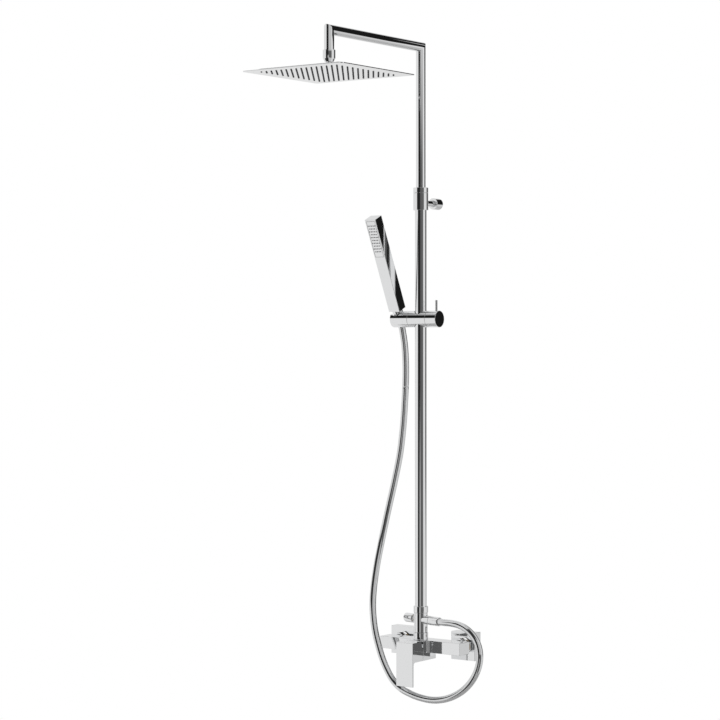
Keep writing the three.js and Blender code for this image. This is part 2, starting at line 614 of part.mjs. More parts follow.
const LONG_RUN = [
  outlet(48), outlet(57), outlet(70), [88, -86.5, 54.5], [109, -90.5, 53], [129, -94, 47.5], [146, -97, 37],
  [159, -99, 22], [166, -101, 3], [165.5, -102.5, -19], [157, -103.5, -42], [142, -104.5, -63],
  [121, -105, -80.5], [92, -105.5, -94.5], [60, -106, -101], [28, -106, -99.5], [0, -105.5, -93.5],
  [-24, -105, -84.5], [-43, -104.8, -69.5], [-58, -104.5, -49], [-70, -104, -27], [-80, -103, -3],
  [-89, -101, 22], [-96.5, -97.5, 49], [-102, -92.5, 78], [-105.5, -84.5, 110], [-106.5, -71, 160],
  [-103, -58.5, 211], [-94, -49.5, 270], [-82, -42.5, 332], [-70.5, -38.5, 392], [-63.5, -37, 450],
  [-59.5, -36.8, 502], [-57.6, -37.2, 530],
];
const TOP_RUN = [
  [-57.6, -37.2, 530 + GAP], [-56, -38.5, 560], [-54.4, -41.8, 590], [-53.1, -47, 618], [-52.5, -53.4, 640],
  seat(-17), seat(-5), seat(9.8),
];

function hoseRun(points, steps) {
  const route = new THREE.CatmullRomCurve3(points.map((p) => new THREE.Vector3(...p)), false, 'centripetal');
  const section = new THREE.Shape();
  section.absarc(0, 0, HOSE_R, 0, 2 * Math.PI);
  const options = { steps, curveSegments: 5, bevelEnabled: false, extrudePath: route };
  return new THREE.ExtrudeGeometry(section, options);
}

place(shower, 'shower_hose', 'hose', solid(hoseRun(LONG_RUN, 38)));
place(shower, 'shower_hose_top', 'hose', solid(hoseRun(TOP_RUN, 6)));

export default shower;
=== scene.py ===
"""Finish and stage for a rainfall shower column: polished chrome tube, square rain head, stick handset.

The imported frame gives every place. Outlines are in millimetres about the axis that they turn on.
"""

import json
from math import atan2, cos, pi, radians, sin

import bmesh
import bpy
from bpy.props import FloatProperty, FloatVectorProperty, IntProperty, PointerProperty
from bpy.types import Operator, Panel, PropertyGroup
from mathutils import Matrix, Vector


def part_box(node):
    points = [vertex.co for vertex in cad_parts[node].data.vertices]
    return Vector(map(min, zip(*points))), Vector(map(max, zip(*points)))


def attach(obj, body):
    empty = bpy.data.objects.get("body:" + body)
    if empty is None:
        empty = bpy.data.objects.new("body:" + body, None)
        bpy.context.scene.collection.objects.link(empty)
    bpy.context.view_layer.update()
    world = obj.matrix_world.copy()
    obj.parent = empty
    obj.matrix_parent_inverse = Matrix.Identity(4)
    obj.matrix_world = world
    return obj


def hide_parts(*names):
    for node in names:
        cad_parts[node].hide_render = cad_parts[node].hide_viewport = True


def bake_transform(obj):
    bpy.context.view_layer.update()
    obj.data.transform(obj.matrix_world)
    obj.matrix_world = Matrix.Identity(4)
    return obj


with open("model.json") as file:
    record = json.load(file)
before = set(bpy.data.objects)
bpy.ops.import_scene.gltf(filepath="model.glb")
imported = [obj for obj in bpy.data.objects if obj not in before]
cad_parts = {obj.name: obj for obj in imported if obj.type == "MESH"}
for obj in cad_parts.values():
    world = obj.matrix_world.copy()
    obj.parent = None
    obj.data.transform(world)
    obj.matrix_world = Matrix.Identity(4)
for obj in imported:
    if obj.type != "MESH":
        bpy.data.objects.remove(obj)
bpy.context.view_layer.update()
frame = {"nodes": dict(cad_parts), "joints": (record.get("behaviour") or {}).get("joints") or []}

bl_info = {
    "name": "Rainfall Shower Column",
    "version": (1, 0, 0),
    "blender": (4, 5, 0),
    "location": "3D View > Sidebar > Shower",
    "description": "Finishes and stages a wall shower column with a rain head and a handset",
    "category": "Object",
}

MM = 0.001


# ---- axes, read from the frame ----


def joint(name):
    """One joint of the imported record."""
    return next(j for j in frame["joints"] if j["name"] == name)


def middle(node):
    """Centre of a CAD node's box."""
    low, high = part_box(node)
    return (low + high) / 2


def reach(node, axis):
    """Lowest and highest height of a CAD node along an axis, and its widest radius, in millimetres."""
    back = axis.inverted()
    points = [back @ v.co for v in frame["nodes"][node].data.vertices]
    heights = [p.z for p in points]
    return min(heights) / MM, max(heights) / MM, max(p.xy.length for p in points) / MM


RISER_Y = middle("riser_tube").y
SLIDER_Z = middle("slider_body").z
HANDSET_X = middle("handset_body").x
OUTLET_Z = middle("outlet_nipple").z
OUTLET_WAY = Vector(joint("diverter_turn")["axis"])
OUTLET_TURN = atan2(OUTLET_WAY.y, OUTLET_WAY.x)
HANDSET_WAY = Vector(joint("handset_lift")["axis"])
HANDSET_TILT = atan2(-HANDSET_WAY.y, HANDSET_WAY.z)

TO_RIGHT = Matrix.Rotation(pi / 2, 4, "Y")
TO_WALL = Matrix.Rotation(-pi / 2, 4, "X")
RISER = Matrix.Translation((0, RISER_Y, 0))
HEAD = Matrix.Translation((0, middle("head_nut").y, 0))
SLIDER = Matrix.Translation((0, RISER_Y, SLIDER_Z)) @ TO_RIGHT
PIN = Matrix.Translation((middle("knob_pin").x, RISER_Y, 0))
HANDSET = Matrix.Translation((HANDSET_X, RISER_Y, SLIDER_Z)) @ Matrix.Rotation(HANDSET_TILT, 4, "X")
OUTLET = Matrix.Translation((0, RISER_Y, OUTLET_Z)) @ Matrix.Rotation(OUTLET_TURN, 4, "Z") @ TO_RIGHT
POST = Matrix.Translation((0, 0, middle("post_cup").z)) @ TO_WALL


# ---- sizes and colours that a user may change ----


class ShowerSizes(PropertyGroup):
    """Detail sizes of the chrome work, the nozzles and the hose."""

    edge: FloatProperty(
        name="Edge", description="Rounding of turned edges", default=0.0004, unit="LENGTH", precision=5
    )
    soft_edge: FloatProperty(
        name="Soft edge", description="Rounding of block edges", default=0.00045, unit="LENGTH", precision=5
    )
    sides: IntProperty(name="Sides", description="Sides of a turned piece", default=96, min=24)
    nozzle_columns: IntProperty(name="Nozzle columns", description="Nozzles in a full row", default=16)
    nozzle_rows: IntProperty(name="Nozzle rows", description="Staggered rows on the rain head", default=24)
    nozzle_field: FloatProperty(
        name="Nozzle field", description="Half of the nozzle field's width", default=0.09, unit="LENGTH"
    )
    nozzle_depth: FloatProperty(
        name="Nozzle depth", description="Half of the nozzle field's depth", default=0.0972, unit="LENGTH"
    )
    nozzle_radius: FloatProperty(
        name="Nozzle radius", description="Radius of a rain nozzle", default=0.0019, unit="LENGTH"
    )
    hand_rows: IntProperty(name="Handset rows", description="Rows of nozzles on the handset", default=10)
    hand_pitch: FloatProperty(
        name="Handset pitch", description="Distance between the handset's rows", default=0.0063, unit="LENGTH"
    )
    hose_step: FloatProperty(
        name="Hose step", description="Distance between rings of the hose", default=0.004, unit="LENGTH"
    )
    hose_sides: IntProperty(name="Hose sides", description="Sides of the hose", default=32)


class ShowerFinishes(PropertyGroup):
    """Colours and gloss of the finishes."""

    chrome: FloatVectorProperty(
        name="Chrome", description="Polished chrome", subtype="COLOR", default=(0.93, 0.935, 0.94), max=1
    )
    chrome_roughness: FloatProperty(
        name="Chrome roughness", description="Highest roughness of the chrome", default=0.05, subtype="FACTOR"
    )
    brass: FloatVectorProperty(
        name="Brass", description="Turned brass", subtype="COLOR", default=(0.52, 0.36, 0.13), max=1
    )
    steel: FloatVectorProperty(
        name="Steel", description="Brushed steel", subtype="COLOR", default=(0.45, 0.46, 0.48), max=1
    )
    plastic: FloatVectorProperty(
        name="Plastic", description="Moulded plastic", subtype="COLOR", default=(0.035, 0.036, 0.04), max=1
    )
    rubber: FloatVectorProperty(
        name="Rubber", description="Seal rubber", subtype="COLOR", default=(0.012, 0.012, 0.013), max=1
    )
    silicone: FloatVectorProperty(
        name="Silicone", description="Nozzle silicone", subtype="COLOR", default=(0.07, 0.072, 0.078), max=1
    )
    hose: FloatVectorProperty(
        name="Hose", description="Silver hose skin", subtype="COLOR", default=(0.86, 0.865, 0.87), max=1
    )


class ShowerStage(PropertyGroup):
    """Camera, floor and studio light."""

    camera_place: FloatVectorProperty(
        name="Camera place", description="Where the camera stands", subtype="XYZ", unit="LENGTH",
        default=(2.480, -3.723, 0.6407),
    )
    camera_turn: FloatProperty(
        name="Camera turn", description="Turn of the level camera about Z", subtype="ANGLE",
        default=radians(35.76),
    )
    lens: FloatProperty(name="Lens", description="Focal length in millimetres", default=107.47, unit="CAMERA")
    shift: FloatProperty(name="Shift", description="Upward shift of the view", default=-0.0366)
    floor_height: FloatProperty(
        name="Floor height", description="Height of the floor", default=-1.0, unit="LENGTH"
    )
    floor_half: FloatProperty(
        name="Floor half", description="Half of the floor's side", default=1.2, unit="LENGTH"
    )
    light: FloatProperty(name="Light", description="Strength of the studio light", default=1.0)


# ---- procedural materials ----


class Nodes:
    """Short calls for adding nodes to one node tree."""

    def __init__(self, tree):
        self.tree = tree

    def add(self, kind, **values):
        node = self.tree.nodes.new(kind)
        for name, value in values.items():
            setattr(node, name, value)
        return node

    def link(self, output, socket):
        self.tree.links.new(output, socket)

    def fill(self, socket, value):
        if isinstance(value, bpy.types.NodeSocket):
            self.link(value, socket)
        else:
            socket.default_value = value

    def math(self, operation, *values):
        node = self.add("ShaderNodeMath", operation=operation)
        for socket, value in zip(node.inputs, values):
            self.fill(socket, value)
        return node.outputs[0]

    def spread(self, value, low, high, to_low=0.0, to_high=1.0):
        node = self.add("ShaderNodeMapRange")
        for socket, number in zip(node.inputs, (value, low, high, to_low, to_high)):
            self.fill(socket, number)
        return node.outputs[0]

    def noise(self, where, scale, detail=3.0, stretch=(1, 1, 1)):
        mapping = self.add("ShaderNodeMapping")
        mapping.inputs["Scale"].default_value = stretch
        self.link(where, mapping.inputs["Vector"])
        node = self.add("ShaderNodeTexNoise")
        self.link(mapping.outputs[0], node.inputs["Vector"])
        node.inputs["Scale"].default_value = scale
        node.inputs["Detail"].default_value = detail
        return node.outputs["Fac"]

    def between(self, amount, first, second):
        node = self.add("ShaderNodeMix", data_type="RGBA")
        self.fill(node.inputs[0], amount)
        node.inputs[6].default_value = (*first, 1)
        node.inputs[7].default_value = (*second, 1)
        return node.outputs[2]

    def bump(self, height, strength, distance):
        node = self.add("ShaderNodeBump")
        node.inputs["Strength"].default_value = strength
        node.inputs["Distance"].default_value = distance
        self.link(height, node.inputs["Height"])
        return node.outputs[0]


def shade(colour, amount):
    """A colour made darker or lighter."""
    return tuple(min(1.0, c * amount) for c in colour)


def new_material(name, metallic, specular=0.5, coat=0.0):
    """An empty principled material: its node helper, its shader and its object coordinates."""
    material = bpy.data.materials.new(name)
    material.use_nodes = True
    nodes = Nodes(material.node_tree)
    shader = material.node_tree.nodes["Principled BSDF"]
    shader.inputs["Metallic"].default_value = metallic
    shader.inputs["Specular IOR Level"].default_value = specular
    shader.inputs["Coat Weight"].default_value = coat
    where = nodes.add("ShaderNodeTexCoord").outputs["Object"]
    return material, nodes, shader, where


def chrome(finishes):
    """Polished chrome plate: faint cloudiness in its colour and gloss on a dead level surface."""
    material, nodes, shader, where = new_material("chrome", 1.0)
    cloud = nodes.noise(where, 35)
    wipe = nodes.noise(where, 900, 2, (1, 1, 0.15))
    colour = nodes.between(cloud, shade(finishes.chrome, 0.985), finishes.chrome)
    nodes.link(colour, shader.inputs["Base Color"])
    rough = nodes.math("MULTIPLY", nodes.math("ADD", cloud, wipe), finishes.chrome_roughness)
    nodes.link(rough, shader.inputs["Roughness"])
    return material


def brass(finishes):
    """Turned brass with fine tool marks and slight tarnish."""
    material, nodes, shader, where = new_material("brass", 1.0)
    tarnish = nodes.noise(where, 60, 5)
    marks = nodes.noise(where, 1500, 2, (1, 0.1, 0.1))
    colour = nodes.between(tarnish, shade(finishes.brass, 0.75), finishes.brass)
    nodes.link(colour, shader.inputs["Base Color"])
    nodes.link(nodes.spread(tarnish, 0.3, 0.7, 0.25, 0.42), shader.inputs["Roughness"])
    nodes.link(nodes.bump(marks, 0.15, 0.0001), shader.inputs["Normal"])
    return material


def steel(finishes):
    """Brushed stainless steel."""
    material, nodes, shader, where = new_material("steel", 1.0)
    brushed = nodes.noise(where, 1200, 3, (1, 0.06, 1))
    colour = nodes.between(brushed, shade(finishes.steel, 0.8), finishes.steel)
    nodes.link(colour, shader.inputs["Base Color"])
    nodes.link(nodes.spread(brushed, 0.3, 0.7, 0.25, 0.4), shader.inputs["Roughness"])
    nodes.link(nodes.bump(brushed, 0.1, 0.00005), shader.inputs["Normal"])
    return material


def black_plastic(finishes):
    """Moulded plastic with a fine spark-eroded grain."""
    material, nodes, shader, where = new_material("black_plastic", 0.0)
    grain = nodes.noise(where, 2500, 2)
    tone = nodes.noise(where, 80)
    colour = nodes.between(tone, shade(finishes.plastic, 0.8), shade(finishes.plastic, 1.25))
    nodes.link(colour, shader.inputs["Base Color"])
    nodes.link(nodes.spread(tone, 0.3, 0.7, 0.4, 0.55), shader.inputs["Roughness"])
    nodes.link(nodes.bump(grain, 0.25, 0.0001), shader.inputs["Normal"])
    return material


def rubber(finishes):
    """Matt seal rubber with a dusty bloom."""
    material, nodes, shader, where = new_material("rubber", 0.0, 0.3)
    bloom = nodes.noise(where, 140, 4)
    colour = nodes.between(bloom, finishes.rubber, shade(finishes.rubber, 2.2))
    nodes.link(colour, shader.inputs["Base Color"])
    nodes.link(nodes.spread(bloom, 0.3, 0.7, 0.7, 0.88), shader.inputs["Roughness"])
    nodes.link(nodes.bump(bloom, 0.1, 0.0002), shader.inputs["Normal"])
    return material


def nozzle_silicone(finishes):
    """Grey silicone with a soft skin and lime traces."""
    material, nodes, shader, where = new_material("nozzle_silicone", 0.0, 0.4)
    lime = nodes.noise(where, 420, 4)
    colour = nodes.between(lime, shade(finishes.silicone, 0.8), shade(finishes.silicone, 1.4))
    nodes.link(colour, shader.inputs["Base Color"])
    nodes.link(nodes.spread(lime, 0.3, 0.7, 0.45, 0.65), shader.inputs["Roughness"])
    nodes.link(nodes.bump(lime, 0.15, 0.0001), shader.inputs["Normal"])
    return material


RIB_PITCH = 0.0032


def hose_skin(finishes):
    """Clear skin over a silver spiral: faint slanted ribs show under a glossy surface."""
    material, nodes, shader, where = new_material("hose_skin", 0.95, 0.5, 0.3)
    shader.inputs["Coat Roughness"].default_value = 0.05
    run = nodes.add("ShaderNodeSeparateXYZ")
    nodes.link(nodes.add("ShaderNodeUVMap", uv_map="run").outputs[0], run.inputs[0])
    turns = nodes.math("ADD", nodes.math("DIVIDE", run.outputs["Y"], RIB_PITCH), run.outputs["X"])
    ribs = nodes.math("SINE", nodes.math("MULTIPLY", turns, 2 * pi))
    sheen = nodes.noise(where, 90)
    tone = nodes.spread(nodes.math("ADD", nodes.math("MULTIPLY", ribs, 0.5), sheen), -0.2, 1.2)
    colour = nodes.between(tone, shade(finishes.hose, 0.9), finishes.hose)
    nodes.link(colour, shader.inputs["Base Color"])
    nodes.link(nodes.spread(nodes.math("ADD", ribs, sheen), -0.7, 1.7, 0.04, 0.1), shader.inputs["Roughness"])
    return material


def pale_floor():
    """Plain pale studio floor with a little tooth."""
    material, nodes, shader, where = new_material("pale_floor", 0.0, 0.2)
    tooth = nodes.noise(where, 30, 4)
    colour = nodes.between(tooth, (0.80, 0.80, 0.80), (0.84, 0.84, 0.84))
    nodes.link(colour, shader.inputs["Base Color"])
    nodes.link(nodes.spread(tooth, 0.3, 0.7, 0.7, 0.85), shader.inputs["Roughness"])
    return material


FINISHES = {
    "chrome": chrome,
    "brass": brass,
    "steel": steel,
    "black_plastic": black_plastic,
    "rubber": rubber,
    "nozzle_silicone": nozzle_silicone,
    "hose_skin": hose_skin,
}


def finish(slot):
    """The material of a record slot, made the first time it is asked for."""
    name = f"{slot}_finish"
    if name not in bpy.data.materials:
        FINISHES[slot](bpy.context.scene.shower_finishes).name = name
    return bpy.data.materials[name]


# ---- mesh helpers ----


def sizes():
    """The detail sizes that the pieces share."""
    return bpy.context.scene.shower_sizes


def new_object(name, mesh, axis=None):
    """A new object in the row frame from a bmesh, drawn in metres about an axis."""
    bmesh.ops.recalc_face_normals(mesh, faces=mesh.faces)
    if axis is not None:
        mesh.transform(axis)
    data = bpy.data.meshes.new(name)
    mesh.to_mesh(data)
    mesh.free()
    piece = bpy.data.objects.new(name, data)
    bpy.context.scene.collection.objects.link(piece)
    return piece


def loft(mesh, rings, closed=False):
    """Joins rings of vertices with quads, and caps the two ends of an open run."""
    pairs = list(zip(rings, rings[1:])) + ([(rings[-1], rings[0])] if closed else [])
    for low, high in pairs:
        for k, corner in enumerate(low):
            after = (k + 1) % len(low)
            mesh.faces.new((corner, low[after], high[after], high[k]))
    if not closed:
        mesh.faces.new(rings[0])
        mesh.faces.new(rings[-1])


def turned(name, outline, axis, bored=False, sides=None):
    """A turned piece from (radius, height) points in millimetres. A bored one closes round its hole."""
    sides = sides or sizes().sides
    mesh = bmesh.new()
    circle = [(cos(2 * pi * k / sides), sin(2 * pi * k / sides)) for k in range(sides)]
    rings = [
        [mesh.verts.new((r * MM * x, r * MM * y, h * MM)) for x, y in circle] for r, h in outline
    ]
    loft(mesh, rings, bored)
    return new_object(name, mesh, axis)


def box_tool(name, low, high, axis):
    """A plain block between two corners in millimetres, for cutting."""
    mesh = bmesh.new()
    corners = [[mesh.verts.new((x * MM, y * MM, z * MM)) for x, y in (
        (low[0], low[1]), (high[0], low[1]), (high[0], high[1]), (low[0], high[1]))]
        for z in (low[2], high[2])]
    loft(mesh, corners)
    return new_object(name, mesh, axis)


def copy_of(node, name):
    """A new piece with a CAD node's shape, its flat faces whole again."""
    mesh = bmesh.new()
    mesh.from_mesh(frame["nodes"][node].data)
    bmesh.ops.remove_doubles(mesh, verts=mesh.verts, dist=1e-6)
    bmesh.ops.dissolve_limit(mesh, angle_limit=radians(1), verts=mesh.verts, edges=mesh.edges)
    return new_object(name, mesh)


def rounded_plate(name, side, corner, low, high, axis, steps=10):
    """A square plate with round corners, from low to high, in millimetres."""
    inner = side / 2 - corner
    mesh = bmesh.new()
    rings = []
    for height in (low, high):
        ring = []
        for quarter in range(4):
            centre = Vector((inner, inner, 0))
            turn = Matrix.Rotation(quarter * pi / 2, 4, "Z")
            for k in range(steps + 1):
                angle = k * pi / 2 / steps
                point = turn @ (centre + Vector((corner * cos(angle), corner * sin(angle), 0)))
                ring.append(mesh.verts.new((point.x * MM, point.y * MM, height * MM)))
        rings.append(ring)
    loft(mesh, rings)
    return new_object(name, mesh, axis)


def settle(piece):
    """Applies a piece's modifiers to its mesh."""
    graph = bpy.context.evaluated_depsgraph_get()
    data = bpy.data.meshes.new_from_object(piece.evaluated_get(graph))
    piece.modifiers.clear()
    piece.data = data
    return piece


def carve(piece, *tools):
    """Cuts tools out of a piece, and removes them."""
    for tool in tools:
        cutter = piece.modifiers.new("cut", "BOOLEAN")
        cutter.operation = "DIFFERENCE"
        cutter.solver = "EXACT"
        cutter.object = tool
    settle(piece)
    for tool in tools:
        bpy.data.objects.remove(tool)
    return piece


def ease(piece, width):
    """Rounds the edges of a piece and shades it smooth, with its flat faces kept flat."""
    for face in piece.data.polygons:
        face.use_smooth = True
    if width:
        round_over = piece.modifiers.new("round", "BEVEL")
        round_over.width = width
        round_over.segments = 3
        round_over.limit_method = "ANGLE"
        round_over.angle_limit = radians(32)
        round_over.use_clamp_overlap = False
        level = piece.modifiers.new("level", "WEIGHTED_NORMAL")
        level.mode = "FACE_AREA"
        level.weight = 100
        settle(piece)
    return piece


def fit(piece, body, slot, *nodes, width=None):
    """Rounds a piece, gives it its finish and its body, and lets it stand for its CAD nodes."""
    ease(piece, sizes().edge if width is None else width)
    piece.data.materials.clear()
    piece.data.materials.append(finish(slot))
    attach(piece, body)
    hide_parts(*nodes)
    return piece


# ---- hose ----

HOSE_RADIUS = 7.0


def outlet(distance):
    """A point on the outlet's axis, in millimetres."""
    return tuple((OUTLET @ Vector((0, 0, distance * MM))) / MM)


def seat(height):
    """A point on the handset's axis, in millimetres."""
    return tuple((HANDSET @ Vector((0, 0, height * MM))) / MM)


LONG_RUN = [
    outlet(48), outlet(57), outlet(70), (88, -86.5, 54.5), (109, -90.5, 53), (129, -94, 47.5),
    (146, -97, 37), (159, -99, 22), (166, -101, 3), (165.5, -102.5, -19), (157, -103.5, -42),
    (142, -104.5, -63), (121, -105, -80.5), (92, -105.5, -94.5), (60, -106, -101), (28, -106, -99.5),
    (0, -105.5, -93.5), (-24, -105, -84.5), (-43, -104.8, -69.5), (-58, -104.5, -49), (-70, -104, -27),
    (-80, -103, -3), (-89, -101, 22), (-96.5, -97.5, 49), (-102, -92.5, 78), (-105.5, -84.5, 110),
    (-106.5, -71, 160), (-103, -58.5, 211), (-94, -49.5, 270), (-82, -42.5, 332), (-70.5, -38.5, 392),
    (-63.5, -37, 450), (-59.5, -36.8, 502), (-57.6, -37.2, 530),
]
TOP_RUN = [
    (-57.6, -37.2, 530), (-56, -38.5, 560), (-54.4, -41.8, 590), (-53.1, -47, 618), (-52.5, -53.4, 640),
    seat(-17), seat(-5), seat(9.8),
]


def smooth_line(points, step):
    """Evenly spaced points, in metres, on the centripetal curve through given points in millimetres."""
    knots = [Vector(p) * MM for p in points]
    knots = [2 * knots[0] - knots[1], *knots, 2 * knots[-1] - knots[-2]]
    fine = []
    for a, b, c, d in zip(knots, knots[1:], knots[2:], knots[3:]):
        gaps = [max((q - p).length ** 0.5, 1e-6) for p, q in ((a, b), (b, c), (c, d))]
        leave = ((b - a) / gaps[0] - (c - a) / (gaps[0] + gaps[1]) + (c - b) / gaps[1]) * gaps[1]
        arrive = ((c - b) / gaps[1] - (d - b) / (gaps[1] + gaps[2]) + (d - c) / gaps[2]) * gaps[1]
        for k in range(24):
            t = k / 24
            fine.append(
                b + leave * t + (3 * (c - b) - 2 * leave - arrive) * t**2
                + (2 * (b - c) + leave + arrive) * t**3
            )
    fine.append(knots[-2])
    lengths = [0.0]
    for p, q in zip(fine, fine[1:]):
        lengths.append(lengths[-1] + (q - p).length)
    count = round(lengths[-1] / step)
    line, at = [], 0
    for k in range(count + 1):
        target = lengths[-1] * k / count
        while at < len(fine) - 2 and lengths[at + 1] < target:
            at += 1
        share = (target - lengths[at]) / (lengths[at + 1] - lengths[at])
        line.append(fine[at].lerp(fine[at + 1], share))
    return line, lengths[-1]


def tube(name, line, radius, sides):
    """A round tube along a line, with its turns and distance in the UV map that the ribs use."""
    mesh = bmesh.new()
    rings = []
    across = None
    for k, point in enumerate(line):
        way = (line[min(k + 1, len(line) - 1)] - line[max(k - 1, 0)]).normalized()
        across = (across or way.orthogonal()) - way * way.dot(across or way.orthogonal())
        across.normalize()
        up = way.cross(across)
        rings.append([
            mesh.verts.new(point + radius * (across * cos(2 * pi * i / sides) + up * sin(2 * pi * i / sides)))
            for i in range(sides)
        ])
    loft(mesh, rings)
    mesh.verts.index_update()
    run = mesh.loops.layers.uv.new("run")
    step = (line[1] - line[0]).length
    for face in mesh.faces:
        places = [divmod(corner.vert.index, sides) for corner in face.loops]
        seam = max(i for _, i in places) - min(i for _, i in places) > 1
        for corner, (ring, i) in zip(face.loops, places):
            corner[run].uv = ((i + (sides if seam and i == 0 else 0)) / sides, ring * step)
    return new_object(name, mesh)


class SHOWER_OT_hose(Operator):
    """Silver hose from the outlet, round a wide loop, up to the handset"""

    bl_idname = "shower.hose"
    bl_label = "Hose"

    def execute(self, context):
        detail = sizes()
        nut_low, nut_high, nut_radius = reach("hose_nut_lower", OUTLET)
        lower_nut = turned("outlet_hose_nut", [
            (7.4, nut_low), (nut_radius, nut_low), (nut_radius, nut_high - 1.5),
            (8.6, nut_high), (7.4, nut_high),
        ], OUTLET, bored=True)
        fit(lower_nut, "column", "chrome", "hose_nut_lower")
        low, high, radius = reach("hose_nut_upper", HANDSET)
        upper_nut = turned("handset_hose_nut", [
            (7.4, low), (8, low), (10.1, high - 7.1), (radius, high - 6.1), (radius, high),
            (9.2, high), (9.2, 10.5), (7.4, 10.5),
        ], HANDSET, bored=True)
        fit(upper_nut, "hose_end", "chrome", "hose_nut_upper")

        long_line, long_length = smooth_line(LONG_RUN, detail.hose_step)
        top_line, top_length = smooth_line(TOP_RUN, detail.hose_step)
        radius = HOSE_RADIUS * MM
        long_hose = tube("hose_long_run", long_line, radius, detail.hose_sides)
        top_hose = tube("hose_top_run", top_line, radius, detail.hose_sides)
        for hose, node in ((long_hose, "shower_hose"), (top_hose, "shower_hose_top")):
            ease(hose, 0)
            hose.data.materials.append(finish("hose_skin"))
            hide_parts(node)
        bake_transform(long_hose)
        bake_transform(top_hose)
        return {"FINISHED"}


# ---- wall connections ----


class SHOWER_OT_wall_connections(Operator):
    """Threaded wall unions, their nuts and the two square cover boxes"""

    bl_idname = "shower.wall_connections"
    bl_label = "Wall connections"

    def execute(self, context):
        soft = sizes().soft_edge
        for side in ("left", "right"):
            node = f"wall_union_{side}"
            axis = Matrix.Translation((middle(node).x, 0, 0)) @ TO_WALL
            low, high, flange = reach(node, axis)
            outline = [(7, low), (flange, low), (flange, low + 2), (11, low + 2), (11, 0)]
            pitch = 1.75
            for k in range(round(high / pitch)):
                outline += [(10.3, k * pitch + 0.35), (10.3, k * pitch + 0.7), (9.2, k * pitch + 1.4)]
            outline += [(9.2, high), (7, high)]
            fit(turned(f"threaded_union_{side}", outline, axis, bored=True), "column", "brass", node, width=0)
            fit(copy_of(f"union_nut_{side}", f"hex_nut_{side}"), "column", "chrome", f"union_nut_{side}",
                width=soft)
            fit(copy_of(f"rosette_{side}", f"cover_box_{side}"), "column", "chrome", f"rosette_{side}",
                width=soft)
        return {"FINISHED"}


# ---- mixer and lever ----


class SHOWER_OT_mixer(Operator):
    """Mixer bar with its central block, and the folded lever plate"""

    bl_idname = "shower.mixer"
    bl_label = "Mixer"

    def execute(self, context):
        soft = sizes().soft_edge
        fit(copy_of("mixer_body", "mixer_block"), "column", "chrome", "mixer_body", width=soft)
        fit(copy_of("lever_handle", "lever_plate"), "lever", "chrome", "lever_handle", width=soft)
        return {"FINISHED"}


# ---- diverter ----


class SHOWER_OT_diverter(Operator):
    """Diverter between the mixer and the riser, with its outlet and its knob"""

    bl_idname = "shower.diverter"
    bl_label = "Diverter"

    def execute(self, context):
        low, high, radius = reach("diverter_lower_nut", RISER)
        outline = [(9.9, low), (radius, low), (radius, high), (9.9, high)]
        nut = turned("lower_union_nut", outline, RISER, bored=True)
        fit(nut, "column", "chrome", "diverter_lower_nut")
        low, high, radius = reach("diverter_upper_nut", RISER)
        outline = [(12.3, low), (radius, low), (radius, high), (12.3, high)]
        nut = turned("upper_union_nut", outline, RISER, bored=True)
        fit(nut, "column", "chrome", "diverter_upper_nut")

        low, high, radius = reach("diverter_body", RISER)
        shoulder = reach("diverter_lower_nut", RISER)[1] + 0.3
        top = reach("diverter_upper_nut", RISER)[0] - 0.3
        body = turned("diverter_barrel", [
            (6, low), (9.6, low), (9.6, shoulder), (radius, shoulder),
            (radius, top), (9.6, top), (9.6, high), (6, high),
        ], RISER, bored=True)
        carve(body, turned("cross_bore", [(7.3, -20), (7.3, 20)], OUTLET))
        fit(body, "column", "chrome", "diverter_body")

        low, high, radius = reach("outlet_nipple", OUTLET)
        nipple = turned("outlet_pipe", [
            (5, low), (7, low), (7, 10.6), (radius, 10.6), (radius, 30), (7, 30), (7, high), (5, high),
        ], OUTLET, bored=True)
        fit(nipple, "column", "chrome", "outlet_nipple")

        low, high, radius = reach("diverter_knob", OUTLET)
        knob = turned("diverter_turn_knob", [
            (3.3, -36.3), (3.3, high), (6.2, high), (6.2, -20),
            (radius, -20), (radius, low), (0.4, low), (0.4, -36.3),
        ], OUTLET, bored=True)
        fit(knob, "diverter_control", "chrome", "diverter_knob", width=0.0008)
        return {"FINISHED"}


# ---- riser, arm and wall post ----


def mitred_pipe(name, route, outer, inner):
    """A pipe with sharp mitred corners along a route in the plane X = 0, in metres."""
    sides = sizes().sides
    across = Vector((1, 0, 0))
    mesh = bmesh.new()
    walls = []
    for radius in (outer, inner):
        wall = []
        for k, point in enumerate(route):
            before = (point - route[k - 1]).normalized() if k else None
            after = (route[k + 1] - point).normalized() if k + 1 < len(route) else None
            leg = before or after
            fold = across.cross(((before or leg) + (after or leg)).normalized())
            fold /= fold.dot(across.cross(leg))
            wall.append([
                mesh.verts.new(point + radius * (across * cos(a) + fold * sin(a)))
                for a in (2 * pi * (i + 0.5) / sides for i in range(sides))
            ])
        walls.append(wall)
    loft(mesh, walls[0] + walls[1][::-1], closed=True)
    return new_object(name, mesh)


